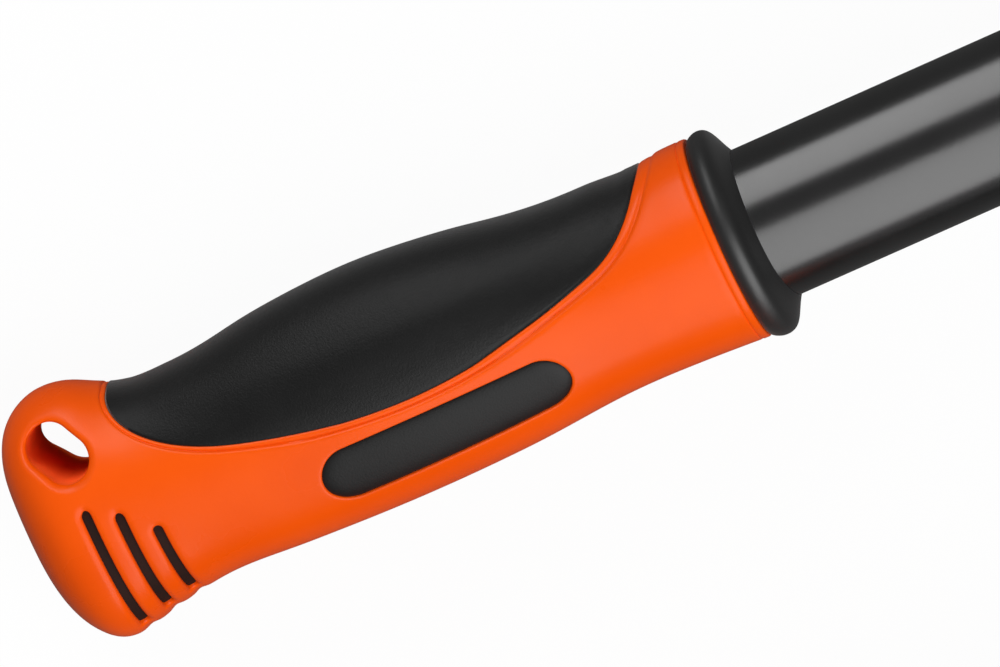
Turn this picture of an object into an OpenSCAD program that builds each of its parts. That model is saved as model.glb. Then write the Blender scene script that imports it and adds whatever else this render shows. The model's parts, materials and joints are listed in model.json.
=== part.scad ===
// Clamshell post hole digger, lying on its side: two steel tube handles with
// two-colour moulded grips, hinged above a pair of facing scoop blades.
// In the tool's own frame the pivot is the origin, +X runs down to the blades,
// +Y lies towards the left half and +Z runs along the pivot bolt.

/* [Handles] */
// Outside diameter of the handle tubes
tube_od = 30; // [28:0.5:34]
// Wall of the handle tubes
tube_wall = 1.5; // [1:0.1:3]
// Distance between the axes of the two handles
handle_spacing = 130; // [124:1:160]
// Distance from the pivot to the front face of the grip collars
handle_reach = 760; // [500:5:1100]
// Distance from the pivot back to the foot of the handle tubes
tube_foot = 14; // [8:1:20]

/* [Grips] */
// Length of a grip from the collar's front face to the butt
grip_len = 151.5; // [146:0.5:165]
// Length of the round-over that closes the butt
butt_round = 14; // [10:1:18]
// How far the tube reaches into the grip
socket_depth = 116; // [80:1:118]
// Cover of the grip over the tube where the palm swells most
grip_cover = 9.5; // [9:0.1:12]
// Width of the collar ring
collar_w = 8; // [5:0.5:10]
// How far the collar stands out over the tube
collar_cover = 6.2; // [4:0.1:8]
// Depth of the palm pad below the shell's surface
pad_depth = 3.2; // [2:0.1:3.8]
// How far the palm pad stands proud of the shell
pad_rise = 0.5; // [0:0.1:1.5]
// Width of the step in the shell along the pad's edge
shelf_w = 1.2; // [0.8:0.1:2]
// Depth of the step in the shell along the pad's edge
shelf_depth = 0.5; // [0.2:0.1:1]
// Length of the side inlays
inlay_len = 49.5; // [30:0.5:60]
// Width of the side inlays
inlay_w = 10.4; // [6:0.1:13]
// Middle of the side inlays, from the collar's front face
inlay_at = 68.5; // [60:0.5:80]
// Turn of the side inlays from the flank towards the fingers, in degrees
inlay_turn = 28; // [22:1:36]
// Width of the butt slots
slot_w = 1.9; // [1:0.1:3]
// Distance from the butt to the nearest slot
slot_setback = 14.7; // [13:0.1:17]
// Distance from slot to slot
slot_pitch = 5.7; // [4.5:0.1:6.5]
// Length of the slot nearest the butt
slot_len = 25; // [20:0.5:28]
// Turn of the slots from the flank towards the fingers, in degrees
slot_turn = 28; // [22:1:34]
// Shell wall left over the tube's outside under the slot and side inlays
inlay_seat = 2; // [1.5:0.1:2.4]
// How deep the slot and side inlays lie below the shell's surface
inlay_sink = 0.6; // [0:0.1:1.2]
// Length of the oval hanging eye
eye_len = 12.2; // [10:0.1:14]
// Width of the oval hanging eye
eye_w = 8.4; // [6:0.1:10]
// Distance from the butt to the eye's centre
eye_setback = 14.2; // [12:0.1:16]
// Distance from the tube's axis to the eye's centre
eye_offset = 16.3; // [14:0.1:18]
// Slant of the eye's long side from the handle's axis, in degrees
eye_slant = 58; // [0:1:90]

/* [Hinge] */
// Sheet thickness of the hinge brackets
plate = 3; // [2:0.1:4]
// Inside radius of the bends between the bracket's web and cheeks
bend_in = 2; // [1:0.5:4]
// Radius of the hinge lugs
lug_r = 17; // [14:0.5:20]
// Diameter of the pivot bolt
pivot_d = 10; // [8:0.5:12]
// Outside diameter of the spacer sleeve on the pivot bolt
sleeve_od = 16; // [15:0.5:20]
// Length of the brackets from the pivot up the handles
bracket_top = 96; // [84:1:130]
// Length of the brackets from the pivot down the blades
bracket_foot = 58; // [54:1:80]
// Corner radius of the bracket plates
bracket_corner = 7; // [4:0.5:10]
// Length of the joggle that sets the right lugs outside the left ones
joggle_len = 10; // [7:0.5:14]

/* [Blades] */
// Inner bending radius of the blades
blade_r = 95; // [85:1:110]
// Sheet thickness of the blades
blade_t = 2.5; // [2:0.1:3.5]
// Width of a blade across its flat outline
blade_w = 140; // [125:1:150]
// Distance from the pivot to the blade shoulders
blade_top = 64; // [60:1:90]
// Distance from the pivot to the blade tips
blade_tip = 290; // [260:1:330]
// Distance from the pivot to where the sides turn in to the tip
blade_turn = 205; // [180:1:215]
// Radius of the blade shoulders
shoulder_r = 20; // [12:1:28]
// Radius of the turn from the sides to the tip
turn_r = 60; // [40:1:62]
// Radius of the rounded tip
tip_r = 42; // [30:1:60]
// Radius of the fillets between tang and shoulders
tang_fillet = 14; // [8:1:18]
// How far the stiffening rib stands out of a blade
rib_rise = 3.5; // [2:0.5:5]
// Radius of the stiffening rib
rib_r = 15; // [12:0.5:18]
// Length of the stiffening rib
rib_len = 120; // [60:5:140]

/* [Fasteners] */
// Diameter of the bolts that hold the handles
handle_bolt_d = 8; // [6:0.5:10]
// Distance between the two handle bolts
handle_bolt_pitch = 46; // [40:1:52]
// Diameter of the blade rivets
rivet_d = 6; // [5:0.5:8]
// Distance between the rivet rows along the blade
rivet_pitch = 30; // [24:1:34]
// Distance between the rivets of a row
rivet_gauge = 19; // [14:0.5:21]
// Thickness of the washers on the pivot bolt
washer_t = 2; // [1:0.1:3]

/* [Clearances] */
// Room between a handle tube and its bracket
tube_gap = 0.3; // [0.1:0.05:0.6]
// Running room between parts that turn on each other
run_gap = 0.3; // [0.2:0.05:0.6]
// Radial room between a bolt or rivet and its hole
hole_gap = 0.08; // [0.03:0.01:0.1]
// Room between the moulded parts of a grip, and between grip and tube
mould_gap = 0.08; // [0.03:0.01:0.2]

/* [Hidden] */
$fn = 64;

orange = [0.93, 0.33, 0.06];
soft_black = [0.11, 0.11, 0.11];
gloss_black = [0.07, 0.07, 0.07];
blade_grey = [0.20, 0.20, 0.21];
zinc = [0.62, 0.63, 0.64];

tube_r = tube_od / 2;
half_spacing = handle_spacing / 2;
pivot_r = pivot_d / 2;
bolt_r = handle_bolt_d / 2;
rivet_r = rivet_d / 2;

// Faces of the bracket cheeks, measured from the middle plane along the pivot bolt
cheek_in = tube_r + tube_gap;
cheek_out = cheek_in + plate;
lug_in = cheek_out + run_gap;
lug_out = lug_in + plate;

// The web of a bracket is rolled to the blade, so both share one bending axis
web_back = half_spacing + tube_r + tube_gap + plate;
bend_y = web_back - blade_r;
blade_edge = blade_w / 2;
big = 4 * blade_w;

// Fastener proportions: hexagons across corners, heads and nuts by bolt diameter
hex_across = 1.7 * 2 / sqrt(3);
head_h = 0.64;
nut_h = 1;
thread_out = 0.35;

// Grip form: share of the grip's length, then cover at palm, fingers and flanks as shares of grip_cover
grip_form = [
    [0.05, 0.58, 0.53, 0.53],
    [0.15, 0.53, 0.47, 0.48],
    [0.25, 0.57, 0.44, 0.46],
    [0.35, 0.78, 0.55, 0.51],
    [0.50, 1.00, 0.66, 0.56],
    [0.64, 0.87, 0.59, 0.51],
    [0.76, 0.67, 0.48, 0.44],
    [0.84, 0.93, 0.61, 0.41],
    [0.91, 1.29, 0.85, 0.40],
    [1.00, 1.12, 0.88, 0.40]
];
// Palm pad: places as shares of grip_len, then the reach to each side of the palm crest in degrees
pad_form = [
    [0.108, 14], [0.118, 29], [0.14, 48], [0.188, 67], [0.237, 76], [0.335, 87], [0.482, 92],
    [0.63, 86], [0.73, 75], [0.781, 64], [0.807, 54], [0.825, 42], [0.832, 29]
];
// Roundness of the grip's section and of its butt, where 2 is an ellipse
section_power = 2.15;
butt_power = 2.5;
around = 40;
butt_start = grip_len - butt_round;
slot_count = 3;
first_slot = grip_len - slot_setback - (slot_count - 1) * slot_pitch;
// Ends of the slots towards palm and fingers, as shares of slot_len
slot_ends = [[-0.24, 0.40], [-0.42, 0.45], [-0.5, 0.5]];
inlay_floor = tube_r + inlay_seat;

// Lying on the floor: the shoulders and the butts of the grips touch it
rest_g = butt_start;
rest_x = blade_top + shoulder_r + handle_reach + rest_g;
rest_z = blade_edge - shoulder_r - side_half(rest_g);
lie = atan2(rest_z, rest_x) + asin(shoulder_r / norm([rest_x, rest_z]));
lift = (handle_reach + rest_g) * sin(lie) + side_half(rest_g) * cos(lie);
mid_x = (blade_tip - handle_reach - grip_len) / 2 * cos(lie);

// A smooth curve through the rows of a table: value of a column at u
function row_of(t, u, i = 0) = (i >= len(t) - 2 || u < t[i + 1][0]) ? i : row_of(t, u, i + 1);
function rise(t, c, i) =
    let (lo = max(i - 1, 0), hi = min(i + 1, len(t) - 1))
    (t[hi][c] - t[lo][c]) / (t[hi][0] - t[lo][0]);
function curve(t, c, u) =
    let (
        i = row_of(t, u),
        h = t[i + 1][0] - t[i][0],
        s = (u - t[i][0]) / h
    )
    t[i][c] * (2 * s - 3) * s * s + t[i][c]
    + t[i + 1][c] * (3 - 2 * s) * s * s
    + h * s * (1 - s) * ((1 - s) * rise(t, c, i) - s * rise(t, c, i + 1));

// Half sizes of the grip at distance g from the collar's front face
function butt_close(g) =
    g <= butt_start ? 1 : pow(1 - pow((g - butt_start) / butt_round, butt_power), 1 / butt_power);
function grip_half(g, c) = (tube_r + grip_cover * curve(grip_form, c, g / grip_len)) * butt_close(g);
function side_half(g) = grip_half(g, 3);
function bent(v) = sign(v) * pow(abs(v), 2 / section_power);

// Point of the grip's surface at angle a from the palm crest, moved out by off
function grip_point(g, a, off = 0) = [
    -g,
    (grip_half(g, cos(a) >= 0 ? 1 : 2) + off) * bent(cos(a)),
    (side_half(g) + off) * bent(sin(a))
];
function grip_ring(g, off = 0) = [for (k = [0:around - 1]) grip_point(g, 360 * k / around, off)];
function pad_reach(g) = curve(pad_form, 1, g / grip_len);
function pad_ring(g, reach, low, high, n = 16) = concat(
    [for (k = [0:n]) grip_point(g, reach * (2 * k / n - 1), high)],
    [for (k = [n:-1:0]) grip_point(g, reach * (2 * k / n - 1), low)]
);

// Strip of faces that closes a ring: point k of its first half is joined to its mirror point
function ring_cap(n, first) =
    [for (k = [0:n / 2 - 2]) [for (i = [k, k + 1, n - 2 - k, n - 1 - k]) first + i]];
function turned(face) = [for (i = [len(face) - 1:-1:0]) face[i]];

// Solid skin through rings of equal, even point counts, closed by its first and last ring
module skin(rings) {
    n = len(rings[0]);
    last = len(rings) - 1;
    polyhedron(
        points = [for (ring = rings) each ring],
        faces = concat(
            [for (face = ring_cap(n, 0)) turned(face)],
            [for (i = [0:last - 1], k = [0:n - 1]) each
                let (a = i * n + k, b = i * n + (k + 1) % n)
                [[a, b, b + n], [a, b + n, a + n]]],
            ring_cap(n, last * n)
        )
    );
}

// Rod along the grip's axis towards the butt, starting at distance g from the collar's front face
module along(g) { translate([-g, 0, 0]) rotate([0, -90, 0]) children(); }

// Flat oval with its long side on X
module oval(l, w) {
    square([l - w, w], center = true);
    for (s = [-1, 1]) {
        translate([s * (l - w) / 2, 0]) circle(w / 2, $fn = 32);
    }
}

module grip_solid() {
    closing = [0.35, 0.6, 0.78, 0.9, 0.97, 0.995];
    body_steps = 21;
    skin(concat(
        [for (k = [0:body_steps]) grip_ring(collar_w + (butt_start - collar_w) * k / body_steps)],
        [for (u = closing) grip_ring(butt_start + butt_round * u)]
    ));
}

// Stretch of the grip's form between two distances from the collar's front face
module grip_stretch(from, to, steps, off) {
    skin([for (k = [0:steps]) grip_ring(from + (to - from) * k / steps, off)]);
}

// Palm pad or a pocket round it, between two offsets from the shell's surface, with the pad's
// outline moved out by grow
module pad_solid(low, high, grow) {
    from = pad_form[0][0] * grip_len;
    to = pad_form[len(pad_form) - 1][0] * grip_len;
    shares = [0, 0.015, 0.04, 0.08, 0.14, 0.22, 0.33, 0.45, 0.57, 0.68, 0.78, 0.86, 0.92, 0.965, 1];
    turn = grow / tube_r * 180 / PI;
    skin([for (s = shares)
        let (g = from + (to - from) * s)
        pad_ring(g + grow * (2 * s - 1), pad_reach(g) + turn, low, high)]);
}

module inlay_prisms(trim) {
    for (side = [0, 1]) {
        mirror([0, 0, side])
            rotate([inlay_turn, 0, 0])
                translate([-inlay_at, 0, inlay_floor + trim])
                    linear_extrude(tube_od) oval(inlay_len - 2 * trim, inlay_w - 2 * trim);
    }
}

// Slots, each a straight cut into the flank down to a round floor about the tube's axis
module slot_prisms(trim) {
    difference() {
        for (i = [0:slot_count - 1], side = [0, 1]) {
            g = first_slot + i * slot_pitch;
            ends = slot_len * slot_ends[i];
            mirror([0, 0, side])
                rotate([slot_turn, 0, 0])
                    translate([-g, -(ends[0] + ends[1]) / 2, 0])
                        linear_extrude(tube_od)
                            rotate(90) oval(ends[1] - ends[0] - 2 * trim, slot_w - 2 * trim);
        }
        along(0) cylinder(r = inlay_floor + trim, h = grip_len);
    }
}

module grip_shell() {
    color(orange) difference() {
        grip_solid();
        pad_solid(-pad_depth, tube_r, 0);
        pad_solid(-shelf_depth, tube_r, shelf_w);
        along(-collar_w) cylinder(r = tube_r + mould_gap, h = socket_depth + collar_w + mould_gap);
        inlay_prisms(0);
        slot_prisms(0);
        translate([eye_setback - grip_len, eye_offset, -tube_od])
            rotate([0, 0, -eye_slant]) linear_extrude(2 * tube_od) oval(eye_len, eye_w);
    }
}

module palm_pad() {
    color(soft_black) pad_solid(mould_gap - pad_depth, pad_rise, -mould_gap);
}

module side_inlays() {
    reach = inlay_len / 2 + inlay_w;
    color(soft_black) intersection() {
        grip_stretch(inlay_at - reach, inlay_at + reach, 12, -inlay_sink);
        inlay_prisms(mould_gap);
    }
}

module butt_inlays() {
    color(soft_black) intersection() {
        grip_stretch(first_slot - slot_pitch, butt_start + butt_round / 2, 8, -inlay_sink);
        slot_prisms(mould_gap);
    }
}

module grip_collar() {
    round_r = collar_w / 3;
    color(gloss_black) along(0) rotate_extrude() hull() {
        translate([tube_r + mould_gap, 0]) square([round_r / 4, collar_w]);
        for (z = [1.5 * round_r, collar_w - round_r]) {
            translate([tube_r + collar_cover - round_r, z]) circle(round_r, $fn = 32);
        }
    }
}

// Handle bolt axes, along the tube from the pivot
function handle_bolt_at() = [
    -tube_foot - handle_bolt_d * 2,
    -tube_foot - handle_bolt_d * 2 - handle_bolt_pitch
];

module handle_tube() {
    tube_len = handle_reach + socket_depth - tube_foot;
    color(gloss_black) difference() {
        translate([-tube_foot, half_spacing, 0]) along(0) difference() {
            cylinder(r = tube_r, h = tube_len);
            translate([0, 0, -1]) cylinder(r = tube_r - tube_wall, h = tube_len + 2);
        }
        for (x = handle_bolt_at()) {
            translate([x, half_spacing, 0])
                cylinder(r = bolt_r + hole_gap, h = 2 * tube_od, center = true);
        }
    }
}

// Outline of a bracket seen along the pivot bolt
module bracket_outline() {
    back = web_back - bracket_corner;
    hull() {
        circle(lug_r, $fn = 48);
        for (p = [
            [bracket_corner - bracket_top, half_spacing - tube_r + bracket_corner / 2],
            [bracket_corner - bracket_top, back],
            [bracket_foot - bracket_corner, back]
        ]) {
            translate(p) circle(bracket_corner, $fn = 32);
        }
        translate([bracket_corner - bracket_top, back])
            square([bracket_top + bracket_foot - 2 * bracket_corner, bracket_corner]);
    }
}

// Area inside the bracket's inner or outer faces: a rolled web, rounded bends, and cheeks that
// step out to the lugs by joggle
module channel_area(half, web_r, bend, joggle) {
    step_in = lug_r + 2 * run_gap + plate;
    step_out = step_in + joggle_len;
    turn = [sqrt(pow(web_r - bend, 2) - pow(half - bend, 2)), half - bend];
    difference() {
        intersection() {
            polygon([
                [-2 * lug_r, -half - joggle], [step_in, -half - joggle], [step_out, -half], [big, -half],
                [big, half], [step_out, half], [step_in, half + joggle], [-2 * lug_r, half + joggle]
            ]);
            translate([bend_y, 0]) circle(web_r);
        }
        for (side = [0, 1]) {
            translate([bend_y, 0]) mirror([0, side])
                polygon([turn, 2 * turn, [2 * turn[0], big], [turn[0], big]]);
        }
    }
    for (side = [-1, 1]) {
        translate([bend_y + turn[0], side * turn[1]]) circle(bend, $fn = 48);
    }
}

// Section of a bracket: a channel pressed from one sheet, with its web rolled to fit the blade
module bracket_section(joggle) {
    difference() {
        channel_area(cheek_out, blade_r, bend_in + plate, joggle);
        channel_area(cheek_in, blade_r - plate, bend_in, joggle);
    }
}

// Rivet places: turned about the blade's bending axis so that each stands square to the sheet
module at_rivets() {
    turn = asin(rivet_gauge / 2 / blade_r);
    first = bracket_foot - 2 * rivet_d;
    for (x = [first, first - rivet_pitch], side = [-1, 1]) {
        translate([x, bend_y, 0]) rotate([side * turn, 0, 0]) rotate([-90, 0, 0]) children();
    }
}

module hinge_bracket(joggle) {
    color(gloss_black) difference() {
        intersection() {
            translate([-bracket_top, 0, 0])
                rotate([90, 0, 90]) linear_extrude(bracket_top + bracket_foot) bracket_section(joggle);
            linear_extrude(2 * big, center = true) bracket_outline();
        }
        cylinder(r = pivot_r + hole_gap, h = big, center = true);
        for (x = handle_bolt_at()) {
            translate([x, half_spacing, 0]) cylinder(r = bolt_r + hole_gap, h = big, center = true);
        }
        at_rivets() cylinder(r = rivet_r + hole_gap, h = 2 * blade_r);
    }
}

// Outline of a blade flattened along its bending direction: tang, shoulders, sides and tip
module blade_outline() {
    tang_half = cheek_out;
    tang_start = bracket_foot - 3.5 * rivet_d - rivet_pitch;
    offset(r = -tang_fillet) offset(delta = tang_fillet) {
        hull() {
            for (s = [-1, 1]) {
                translate([blade_top + shoulder_r, s * (blade_edge - shoulder_r)]) circle(shoulder_r);
                translate([blade_turn, s * (blade_edge - turn_r)]) circle(turn_r);
            }
            translate([blade_tip - tip_r, 0]) circle(tip_r);
        }
        translate([tang_start, -tang_half])
            square([blade_top + shoulder_r - tang_start, 2 * tang_half]);
    }
}

module blade_rib(r) {
    from = blade_top + shoulder_r + rib_r;
    translate([from, bend_y + blade_r + blade_t + rib_rise - rib_r, 0]) {
        rotate([0, 90, 0]) cylinder(r = r, h = rib_len - 2 * rib_r);
        sphere(r);
        translate([rib_len - 2 * rib_r, 0, 0]) sphere(r);
    }
}

module bend_cylinder(r) {
    translate([-bracket_top, bend_y, 0]) rotate([0, 90, 0])
        cylinder(r = r, h = bracket_top + 2 * blade_tip);
}

module blade() {
    color(blade_grey) difference() {
        union() {
            intersection() {
                difference() {
                    bend_cylinder(blade_r + blade_t);
                    bend_cylinder(blade_r);
                }
                rotate([-90, 0, 0]) linear_extrude(big) blade_outline();
            }
            difference() {
                blade_rib(rib_r);
                bend_cylinder(blade_r + blade_t / 2);
            }
        }
        blade_rib(rib_r - blade_t);
        at_rivets() cylinder(r = rivet_r + hole_gap, h = 2 * blade_r);
    }
}

module blade_rivets() {
    head_r = 0.9 * rivet_d;
    head_rise = 0.4 * rivet_d;
    dome_r = (head_r * head_r + head_rise * head_rise) / (2 * head_rise);
    tail_h = 0.3 * rivet_d;
    tail_r = 0.75 * rivet_d;
    sag = tail_r * tail_r / blade_r;
    color(zinc) at_rivets() {
        translate([0, 0, blade_r - plate - tail_h - sag]) {
            cylinder(r = rivet_r, h = plate + blade_t + tail_h + sag + head_rise / 2);
            cylinder(r = tail_r, h = tail_h);
        }
        translate([0, 0, blade_r + blade_t]) intersection() {
            cylinder(r = head_r, h = head_rise);
            translate([0, 0, head_rise - dome_r]) sphere(dome_r);
        }
    }
}

module hex_bolt(d, under_head, shank) {
    translate([0, 0, under_head]) cylinder(r = hex_across * d / 2, h = head_h * d, $fn = 6);
    translate([0, 0, under_head - shank]) cylinder(r = d / 2, h = shank + head_h * d / 2);
}

module hex_nut(d, top) {
    translate([0, 0, top - nut_h * d]) difference() {
        cylinder(r = hex_across * d / 2, h = nut_h * d, $fn = 6);
        translate([0, 0, -1]) cylinder(r = d / 2 + hole_gap, h = nut_h * d + 2);
    }
}

module bracket_bolts() {
    shank = 2 * cheek_out + (nut_h + thread_out) * handle_bolt_d;
    color(zinc) for (x = handle_bolt_at()) {
        translate([x, half_spacing, 0]) hex_bolt(handle_bolt_d, cheek_out, shank);
    }
}

module bracket_nuts() {
    color(zinc) for (x = handle_bolt_at()) {
        translate([x, half_spacing, 0]) hex_nut(handle_bolt_d, -cheek_out);
    }
}

// Faces of the pivot washers, outside the right lugs
washer_in = lug_out + run_gap;
washer_out = washer_in + washer_t;

module pivot_bolt() {
    color(zinc) hex_bolt(pivot_d, washer_out, 2 * washer_out + (nut_h + thread_out) * pivot_d);
}

module pivot_nut() {
    color(zinc) hex_nut(pivot_d, -washer_out);
}

module pivot_washers() {
    color(zinc) for (z = [washer_in, -washer_out]) {
        translate([0, 0, z]) difference() {
            cylinder(r = pivot_d, h = washer_t);
            translate([0, 0, -1]) cylinder(r = pivot_r + hole_gap, h = washer_t + 2);
        }
    }
}

module pivot_sleeve() {
    color(zinc) difference() {
        cylinder(d = sleeve_od, h = 2 * cheek_in, center = true);
        cylinder(r = pivot_r + hole_gap, h = 3 * cheek_in, center = true);
    }
}

// Lays the tool on the floor with the middle of its length over the origin
module lay() { translate([-mid_x, 0, lift]) rotate([0, -lie, 0]) children(); }
module left() { lay() children(); }
module right() { lay() mirror([0, 1, 0]) children(); }
module on_handle() { translate([-handle_reach, half_spacing, 0]) children(); }

left() handle_tube();  // left_handle_tube
left() on_handle() grip_shell();  // left_grip_shell
left() on_handle() palm_pad();  // left_palm_pad
left() on_handle() side_inlays();  // left_side_inlays
left() on_handle() butt_inlays();  // left_butt_inlays
left() on_handle() grip_collar();  // left_grip_collar
left() hinge_bracket(0);  // left_hinge_bracket
left() bracket_bolts();  // left_bracket_bolts
left() bracket_nuts();  // left_bracket_nuts
left() blade();  // left_blade
left() blade_rivets();  // left_blade_rivets
right() handle_tube();  // right_handle_tube
right() on_handle() grip_shell();  // right_grip_shell
right() on_handle() palm_pad();  // right_palm_pad
right() on_handle() side_inlays();  // right_side_inlays
right() on_handle() butt_inlays();  // right_butt_inlays
right() on_handle() grip_collar();  // right_grip_collar
right() hinge_bracket(lug_in - cheek_in);  // right_hinge_bracket
right() bracket_bolts();  // right_bracket_bolts
right() bracket_nuts();  // right_bracket_nuts
right() blade();  // right_blade
right() blade_rivets();  // right_blade_rivets
lay() pivot_bolt();
lay() pivot_nut();
lay() pivot_washers();
lay() pivot_sleeve();
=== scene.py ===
import json
import math

import bpy
import numpy as np
from mathutils import Matrix, Vector, kdtree
from mathutils.geometry import delaunay_2d_cdt


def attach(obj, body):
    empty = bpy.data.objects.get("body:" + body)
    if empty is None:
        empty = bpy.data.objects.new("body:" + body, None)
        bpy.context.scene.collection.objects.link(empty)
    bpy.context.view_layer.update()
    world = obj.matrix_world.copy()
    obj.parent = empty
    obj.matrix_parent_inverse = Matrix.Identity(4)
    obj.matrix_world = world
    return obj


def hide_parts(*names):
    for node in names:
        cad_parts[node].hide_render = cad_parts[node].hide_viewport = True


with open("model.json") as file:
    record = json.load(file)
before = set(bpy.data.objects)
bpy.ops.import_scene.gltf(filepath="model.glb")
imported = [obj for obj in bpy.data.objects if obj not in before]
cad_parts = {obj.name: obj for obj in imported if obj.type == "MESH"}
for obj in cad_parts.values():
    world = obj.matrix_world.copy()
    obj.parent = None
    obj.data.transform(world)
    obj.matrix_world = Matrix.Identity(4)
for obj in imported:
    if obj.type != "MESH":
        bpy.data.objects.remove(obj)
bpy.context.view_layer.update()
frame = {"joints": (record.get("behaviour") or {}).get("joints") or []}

# Handle tubes.
# Welded steel tubes, 30 mm across, stove-enamelled gloss black. Each one runs from its
# hinge bracket, where two bolts cross it, into the socket of its grip.

# All sizes are in mm, in the tool's own frame: the pivot is the origin, +X runs down to
# the blades, +Y lies towards the left half and +Z runs along the pivot bolt.
tube_r = 15.0
tube_wall = 1.5
tube_chamfer = 0.4
tube_foot = 14.0
half_spacing = 65.0
handle_reach = 760.0
socket_depth = 116.0

hinge = frame["joints"][0]
pivot_axis = np.array(hinge["axis"])
tool_axes = np.array([np.cross([0, 1, 0], pivot_axis), [0, 1, 0], pivot_axis])


def laid(points):
    """Points of the tool's own frame as metres in the row frame, where it lies on the floor."""
    return np.asarray(points) @ tool_axes / 1000 + np.array(hinge["pos_m"])


def settle(made, node, body):
    """Lets a finished object stand for its CAD node."""
    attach(made, body)
    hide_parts(node)
    return made


def piece(half, name, points, faces, material, sharp=40):
    """Piece of one half, given as it is on the left half; the right half mirrors it."""
    points = np.array(points, float)
    if half == "right":
        points[:, 1] *= -1
        faces = [face[::-1] for face in faces]
    mesh = bpy.data.meshes.new(f"{half}_{name}_mesh")
    mesh.from_pydata(laid(points).tolist(), [], faces)
    mesh.shade_smooth()
    mesh.set_sharp_from_angle(angle=math.radians(sharp))
    mesh.materials.append(material)
    made = bpy.data.objects.new(f"{half}_{name}_made", mesh)
    bpy.context.scene.collection.objects.link(made)
    return settle(made, f"{half}_{name}", f"{half}_half")


def lathe(profile, steps=128):
    """Closed profile of (distance along -X, radius) turned about X."""
    distance, radius = np.array(profile, float).T
    turn = np.linspace(0, 2 * math.pi, steps, endpoint=False)
    points = np.stack([
        np.repeat(-distance, steps),
        np.outer(radius, np.cos(turn)).ravel(),
        np.outer(radius, np.sin(turn)).ravel(),
    ], 1)
    faces = []
    for i in range(len(profile)):
        here, there = i * steps, (i + 1) % len(profile) * steps
        for k in range(steps):
            after = (k + 1) % steps
            faces.append([here + k, there + k, there + after, here + after])
    return points, faces


def finish(
    name, tones, rough, drift, grain, relief, metallic=0.0, coat=0.0, level=0.5, sheen=(0.0, 0.5)
):
    """Surface whose tone and gloss drift slowly and whose fine grain stands out a little.

    Drift and grain are scales of noise per metre, relief is the grain's height in metres, level
    is how strongly the surface mirrors and sheen is a dusty glow of (weight, roughness).
    """
    material = bpy.data.materials.new(name)
    material.use_nodes = True
    nodes = material.node_tree.nodes
    link = material.node_tree.links.new
    shader = nodes["Principled BSDF"]
    shader.inputs["Metallic"].default_value = metallic
    shader.inputs["Coat Weight"].default_value = coat
    shader.inputs["Specular IOR Level"].default_value = level
    shader.inputs["Sheen Weight"].default_value = sheen[0]
    shader.inputs["Sheen Roughness"].default_value = sheen[1]
    place = nodes.new("ShaderNodeTexCoord")
    cloud = nodes.new("ShaderNodeTexNoise")
    cloud.inputs["Scale"].default_value = drift
    cloud.inputs["Detail"].default_value = 5
    tone = nodes.new("ShaderNodeValToRGB")
    for stop, at, colour in zip(tone.color_ramp.elements, (0.3, 0.7), tones):
        stop.position = at
        stop.color = (*colour, 1)
    gloss = nodes.new("ShaderNodeMapRange")
    gloss.inputs["To Min"].default_value = rough[0]
    gloss.inputs["To Max"].default_value = rough[1]
    fine = nodes.new("ShaderNodeTexNoise")
    fine.inputs["Scale"].default_value = grain
    fine.inputs["Detail"].default_value = 3
    bump = nodes.new("ShaderNodeBump")
    bump.inputs["Distance"].default_value = relief
    link(place.outputs["Object"], cloud.inputs["Vector"])
    link(place.outputs["Object"], fine.inputs["Vector"])
    link(cloud.outputs["Fac"], tone.inputs["Fac"])
    link(cloud.outputs["Fac"], gloss.inputs["Value"])
    link(fine.outputs["Fac"], bump.inputs["Height"])
    link(tone.outputs["Color"], shader.inputs["Base Color"])
    link(gloss.outputs["Result"], shader.inputs["Roughness"])
    link(bump.outputs["Normal"], shader.inputs["Normal"])
    return material


tube_enamel = finish(
    "tube_enamel", ((0.006, 0.006, 0.006), (0.009, 0.009, 0.009)), rough=(0.22, 0.27),
    drift=60, grain=700, relief=0.00001, level=0.97,
)
tube_end = handle_reach + socket_depth
tube_points, tube_faces = lathe([
    (tube_foot, tube_r - tube_wall),
    (tube_foot, tube_r - tube_chamfer),
    (tube_foot + tube_chamfer, tube_r),
    (tube_end - tube_chamfer, tube_r),
    (tube_end, tube_r - tube_chamfer),
    (tube_end, tube_r - tube_wall),
])
tube_points[:, 1] += half_spacing
for half in ("left", "right"):
    piece(half, "handle_tube", tube_points, tube_faces, tube_enamel)

# Grip shells.
# Orange polypropylene, the first shot of the two-colour grip, pushed onto the tube. Windows for
# the soft second shot, an oval hanging eye through the butt, and a fine groove by the collar.

shell_front = 6.9
butt_start = 137.4
butt_round = 14.35
butt_power = 2.5
# The butt stands out a little above this distance from the tube's axis and lies back below it;
# the lean comes in over the first part of the turn that closes the butt
butt_lean = 0.8
butt_crown = 12.5
lean_span = 7.0
lean_turn = 0.7
section_power = 2.15
# The surface is drawn on a flat net: p runs along the grip from the collar's front face and
# over the butt, q runs round it from the palm crest. Half the girth is drawn and mirrored.
girth = 132.0
cap_len = 30.0
net_end = butt_start + cap_len


def spline(rows):
    """Smooth curve through rows of (place, value): a cubic spline with straight ends."""
    u, v = np.array(rows, float).T
    h = np.diff(u)
    system = np.eye(len(u))
    slopes = np.zeros(len(u))
    for i in range(1, len(u) - 1):
        system[i, i - 1:i + 2] = h[i - 1], 2 * (h[i - 1] + h[i]), h[i]
        slopes[i] = 6 * ((v[i + 1] - v[i]) / h[i] - (v[i] - v[i - 1]) / h[i - 1])
    m = np.linalg.solve(system, slopes)

    def at(x):
        i = np.clip(np.searchsorted(u, x) - 1, 0, len(u) - 2)
        left, right = u[i + 1] - x, x - u[i]
        return (
            (m[i] * left ** 3 + m[i + 1] * right ** 3) / (6 * h[i])
            + (v[i] / h[i] - m[i] * h[i] / 6) * left
            + (v[i + 1] / h[i] - m[i + 1] * h[i] / 6) * right
        )

    return at


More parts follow.
